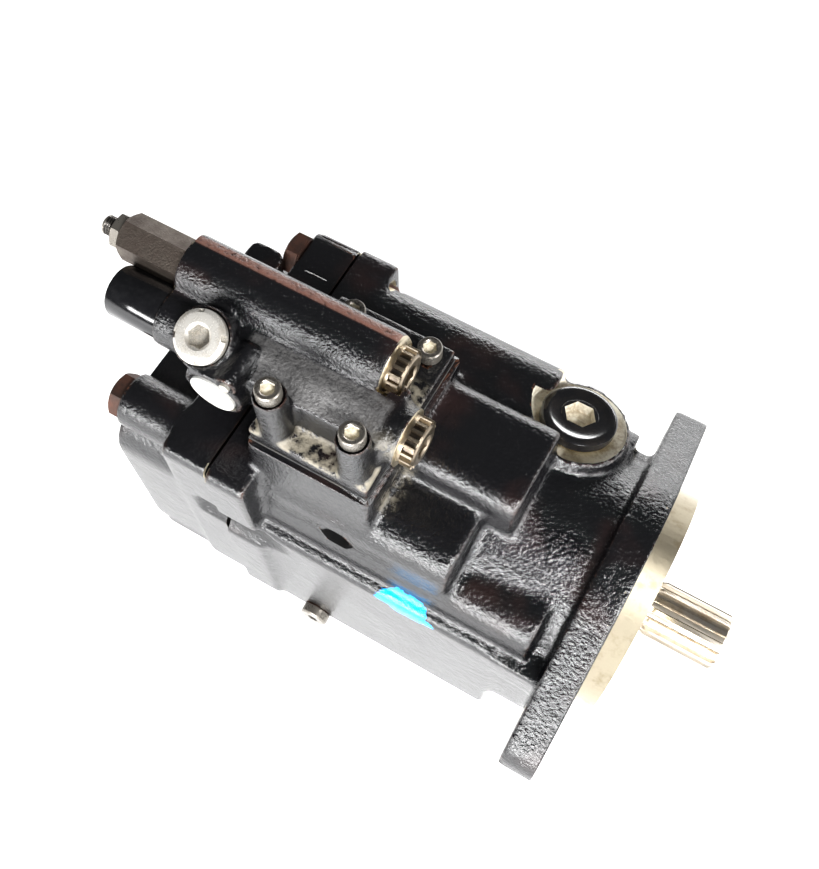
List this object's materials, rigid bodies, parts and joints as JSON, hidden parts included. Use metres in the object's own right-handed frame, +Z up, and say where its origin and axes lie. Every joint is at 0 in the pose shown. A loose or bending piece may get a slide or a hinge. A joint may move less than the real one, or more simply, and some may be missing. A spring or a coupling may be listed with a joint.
{
  "type": "axial piston pump",
  "caption": "Variable swashplate axial piston pump: two-bolt flange and splined shaft, rear port plate, and a control valve on top.",
  "frame": {"origin": "centre of the mounting flange's front face, on the shaft axis", "axes": "+X along the shaft towards its free end, +Y along the line of the two flange holes, +Z up towards the control valve"},
  "size_m": [0.287, 0.18, 0.197],
  "materials": {
    "black_casting": "gloss black paint over a grainy iron casting",
    "shaft_steel": "machined, warm tinted",
    "bearing_steel": "ground",
    "rusty_steel": "rusted",
    "dark_steel": "black oxide, greasy",
    "black_plug": "gloss black",
    "zinc_steel": "dull zinc plate, dirty",
    "bright_steel": "bright zinc",
    "seal_rubber": "matte brown",
    "gasket": "grey fibre and metal",
    "bronze": "machined bronze",
    "hardened_iron": "ground and hardened",
    "spring_steel": "oil tempered wire",
    "ground_steel": "ground"
  },
  "bodies": {
    "pump_case": {"housing": "black_casting", "port_plate": "black_casting", "housing_seal": "gasket", "port_plate_bolts": "rusty_steel", "bearing_cups": "bearing_steel", "shaft_seal": "seal_rubber", "seal_retaining_ring": "ground_steel", "cradle_bearings": "bronze", "valve_plate": "bronze", "stroking_guide": "ground_steel", "bias_guide_rod": "ground_steel", "valve_body": "black_casting", "valve_gasket": "gasket", "valve_screws": "dark_steel", "pressure_spring_housing": "zinc_steel", "flow_spring_housing": "zinc_steel", "flow_cap": "black_plug", "adjuster_locknuts": "dark_steel", "spool_end_plugs": "dark_steel", "pilot_port_plug": "bright_steel", "closure_disc": "bright_steel", "orifice_plug": "bright_steel", "case_drain_plugs": "black_plug", "drain_seal_rings": "gasket", "gauge_port_plug": "dark_steel", "bias_spring": "spring_steel", "pressure_spring": "spring_steel", "flow_spring": "spring_steel"},
    "rotor": {"drive_shaft": "shaft_steel", "bearing_cones": "bearing_steel", "cylinder_block": "hardened_iron", "block_spring": "spring_steel", "ball_guide": "ground_steel"},
    "roller_sets": {"bearing_rollers": "bearing_steel"},
    "swash": {"swashplate": "hardened_iron"},
    "retainer": {"retainer_plate": "ground_steel"},
    "stroker": {"stroking_piston": "ground_steel"},
    "biaser": {"bias_piston": "ground_steel"},
    "pressure_spool_body": {"pressure_spool": "ground_steel"},
    "flow_spool_body": {"flow_spool": "ground_steel"},
    "pressure_screw_body": {"pressure_screw": "dark_steel"},
    "flow_screw_body": {"flow_screw": "dark_steel"},
    "piston_1_body": {"piston_1": "ground_steel"},
    "slipper_1_body": {"slipper_1": "bronze"},
    "piston_2_body": {"piston_2": "ground_steel"},
    "slipper_2_body": {"slipper_2": "bronze"},
    "piston_3_body": {"piston_3": "ground_steel"},
    "slipper_3_body": {"slipper_3": "bronze"},
    "piston_4_body": {"piston_4": "ground_steel"},
    "slipper_4_body": {"slipper_4": "bronze"},
    "piston_5_body": {"piston_5": "ground_steel"},
    "slipper_5_body": {"slipper_5": "bronze"},
    "piston_6_body": {"piston_6": "ground_steel"},
    "slipper_6_body": {"slipper_6": "bronze"},
    "piston_7_body": {"piston_7": "ground_steel"},
    "slipper_7_body": {"slipper_7": "bronze"},
    "piston_8_body": {"piston_8": "ground_steel"},
    "slipper_8_body": {"slipper_8": "bronze"},
    "piston_9_body": {"piston_9": "ground_steel"},
    "slipper_9_body": {"slipper_9": "bronze"}
  },
  "joints": [
    {"name": "shaft_spin", "type": "hinge", "parent": "pump_case", "child": "rotor", "pos_m": [-0.084, 0, 0], "axis": [1, 0, 0], "range_deg": [-360, 360]},
    {"name": "rollers_orbit", "type": "hinge", "parent": "pump_case", "child": "roller_sets", "pos_m": [-0.084, 0, 0], "axis": [1, 0, 0], "range_deg": [-151, 151]},
    {"name": "swash_tilt", "type": "hinge", "parent": "pump_case", "child": "swash", "pos_m": [-0.084, 0, 0], "axis": [0, -1, 0], "range_deg": [0, 17.5]},
    {"name": "retainer_spin", "type": "hinge", "parent": "swash", "child": "retainer", "pos_m": [-0.084, 0, 0], "axis": [1, 0, 0], "range_deg": [-360, 360]},
    {"name": "piston_1_stroke", "type": "slide", "parent": "rotor", "child": "piston_1_body", "axis": [1, 0, 0], "range_m": [-0.01072, 0]},
    {"name": "slipper_1_tilt", "type": "hinge", "parent": "piston_1_body", "child": "slipper_1_body", "pos_m": [-0.084, 0, 0.034], "axis": [0, -1, 0], "range_deg": [0, 17.5]},
    {"name": "piston_2_stroke", "type": "slide", "parent": "rotor", "child": "piston_2_body", "axis": [1, 0, 0], "range_m": [-0.00821, 0]},
    {"name": "slipper_2_tilt", "type": "hinge", "parent": "piston_2_body", "child": "slipper_2_body", "pos_m": [-0.084, 0.02185, 0.02605], "axis": [0, -1, 0], "range_deg": [0, 17.5]},
    {"name": "piston_3_stroke", "type": "slide", "parent": "rotor", "child": "piston_3_body", "axis": [1, 0, 0], "range_m": [-0.00186, 0]},
    {"name": "slipper_3_tilt", "type": "hinge", "parent": "piston_3_body", "child": "slipper_3_body", "pos_m": [-0.084, 0.03348, 0.0059], "axis": [0, -1, 0], "range_deg": [0, 17.5]},
    {"name": "piston_4_stroke", "type": "slide", "parent": "rotor", "child": "piston_4_body", "axis": [1, 0, 0], "range_m": [0, 0.00536]},
    {"name": "slipper_4_tilt", "type": "hinge", "parent": "piston_4_body", "child": "slipper_4_body", "pos_m": [-0.084, 0.02944, -0.017], "axis": [0, -1, 0], "range_deg": [0, 17.5]},
    {"name": "piston_5_stroke", "type": "slide", "parent": "rotor", "child": "piston_5_body", "axis": [1, 0, 0], "range_m": [0, 0.01007]},
    {"name": "slipper_5_tilt", "type": "hinge", "parent": "piston_5_body", "child": "slipper_5_body", "pos_m": [-0.084, 0.01163, -0.03195], "axis": [0, -1, 0], "range_deg": [0, 17.5]},
    {"name": "piston_6_stroke", "type": "slide", "parent": "rotor", "child": "piston_6_body", "axis": [1, 0, 0], "range_m": [0, 0.01007]},
    {"name": "slipper_6_tilt", "type": "hinge", "parent": "piston_6_body", "child": "slipper_6_body", "pos_m": [-0.084, -0.01163, -0.03195], "axis": [0, -1, 0], "range_deg": [0, 17.5]},
    {"name": "piston_7_stroke", "type": "slide", "parent": "rotor", "child": "piston_7_body", "axis": [1, 0, 0], "range_m": [0, 0.00536]},
    {"name": "slipper_7_tilt", "type": "hinge", "parent": "piston_7_body", "child": "slipper_7_body", "pos_m": [-0.084, -0.02944, -0.017], "axis": [0, -1, 0], "range_deg": [0, 17.5]},
    {"name": "piston_8_stroke", "type": "slide", "parent": "rotor", "child": "piston_8_body", "axis": [1, 0, 0], "range_m": [-0.00186, 0]},
    {"name": "slipper_8_tilt", "type": "hinge", "parent": "piston_8_body", "child": "slipper_8_body", "pos_m": [-0.084, -0.03348, 0.0059], "axis": [0, -1, 0], "range_deg": [0, 17.5]},
    {"name": "piston_9_stroke", "type": "slide", "parent": "rotor", "child": "piston_9_body", "axis": [1, 0, 0], "range_m": [-0.00821, 0]},
    {"name": "slipper_9_tilt", "type": "hinge", "parent": "piston_9_body", "child": "slipper_9_body", "pos_m": [-0.084, -0.02185, 0.02605], "axis": [0, -1, 0], "range_deg": [0, 17.5]},
    {"name": "stroking_slide", "type": "slide", "parent": "pump_case", "child": "stroker", "axis": [-1, 0, 0], "range_m": [0, 0.0186]},
    {"name": "bias_slide", "type": "slide", "parent": "pump_case", "child": "biaser", "axis": [1, 0, 0], "range_m": [0, 0.01829], "deforming": ["bias_spring"]},
    {"name": "pressure_spool_slide", "type": "slide", "parent": "pump_case", "child": "pressure_spool_body", "axis": [-1, 0, 0], "range_m": [0, 0.0025], "stiffness_N_per_m": 3000, "springref_m": -0.002, "deforming": ["pressure_spring"]},
    {"name": "flow_spool_slide", "type": "slide", "parent": "pump_case", "child": "flow_spool_body", "axis": [-1, 0, 0], "range_m": [0, 0.0025], "stiffness_N_per_m": 1500, "springref_m": -0.002, "deforming": ["flow_spring"]},
    {"name": "pressure_screw_turn", "type": "hinge", "parent": "pump_case", "child": "pressure_screw_body", "pos_m": [-0.21, -0.0025, 0.1055], "axis": [1, 0, 0], "range_deg": [-180, 180]},
    {"name": "flow_screw_turn", "type": "hinge", "parent": "pump_case", "child": "flow_screw_body", "pos_m": [-0.21, -0.0205, 0.096], "axis": [1, 0, 0], "range_deg": [-180, 180]}
  ],
  "couplings": [
    {"joint": "rollers_orbit", "follows": "shaft_spin", "ratio": 0.41786},
    {"joint": "retainer_spin", "follows": "shaft_spin", "ratio": 1},
    {"joint": "piston_1_stroke", "follows": "swash_tilt", "m_per_rad": -0.035098},
    {"joint": "slipper_1_tilt", "follows": "swash_tilt", "ratio": 1},
    {"joint": "piston_2_stroke", "follows": "swash_tilt", "m_per_rad": -0.026887},
    {"joint": "slipper_2_tilt", "follows": "swash_tilt", "ratio": 1},
    {"joint": "piston_3_stroke", "follows": "swash_tilt", "m_per_rad": -0.006095},
    {"joint": "slipper_3_tilt", "follows": "swash_tilt", "ratio": 1},
    {"joint": "piston_4_stroke", "follows": "swash_tilt", "m_per_rad": 0.017549},
    {"joint": "slipper_4_tilt", "follows": "swash_tilt", "ratio": 1},
    {"joint": "piston_5_stroke", "follows": "swash_tilt", "m_per_rad": 0.032982},
    {"joint": "slipper_5_tilt", "follows": "swash_tilt", "ratio": 1},
    {"joint": "piston_6_stroke", "follows": "swash_tilt", "m_per_rad": 0.032982},
    {"joint": "slipper_6_tilt", "follows": "swash_tilt", "ratio": 1},
    {"joint": "piston_7_stroke", "follows": "swash_tilt", "m_per_rad": 0.017549},
    {"joint": "slipper_7_tilt", "follows": "swash_tilt", "ratio": 1},
    {"joint": "piston_8_stroke", "follows": "swash_tilt", "m_per_rad": -0.006095},
    {"joint": "slipper_8_tilt", "follows": "swash_tilt", "ratio": 1},
    {"joint": "piston_9_stroke", "follows": "swash_tilt", "m_per_rad": -0.026887},
    {"joint": "slipper_9_tilt", "follows": "swash_tilt", "ratio": 1},
    {"joint": "stroking_slide", "follows": "swash_tilt", "m_per_rad": 0.060906},
    {"joint": "bias_slide", "follows": "swash_tilt", "m_per_rad": 0.059874}
  ]
}
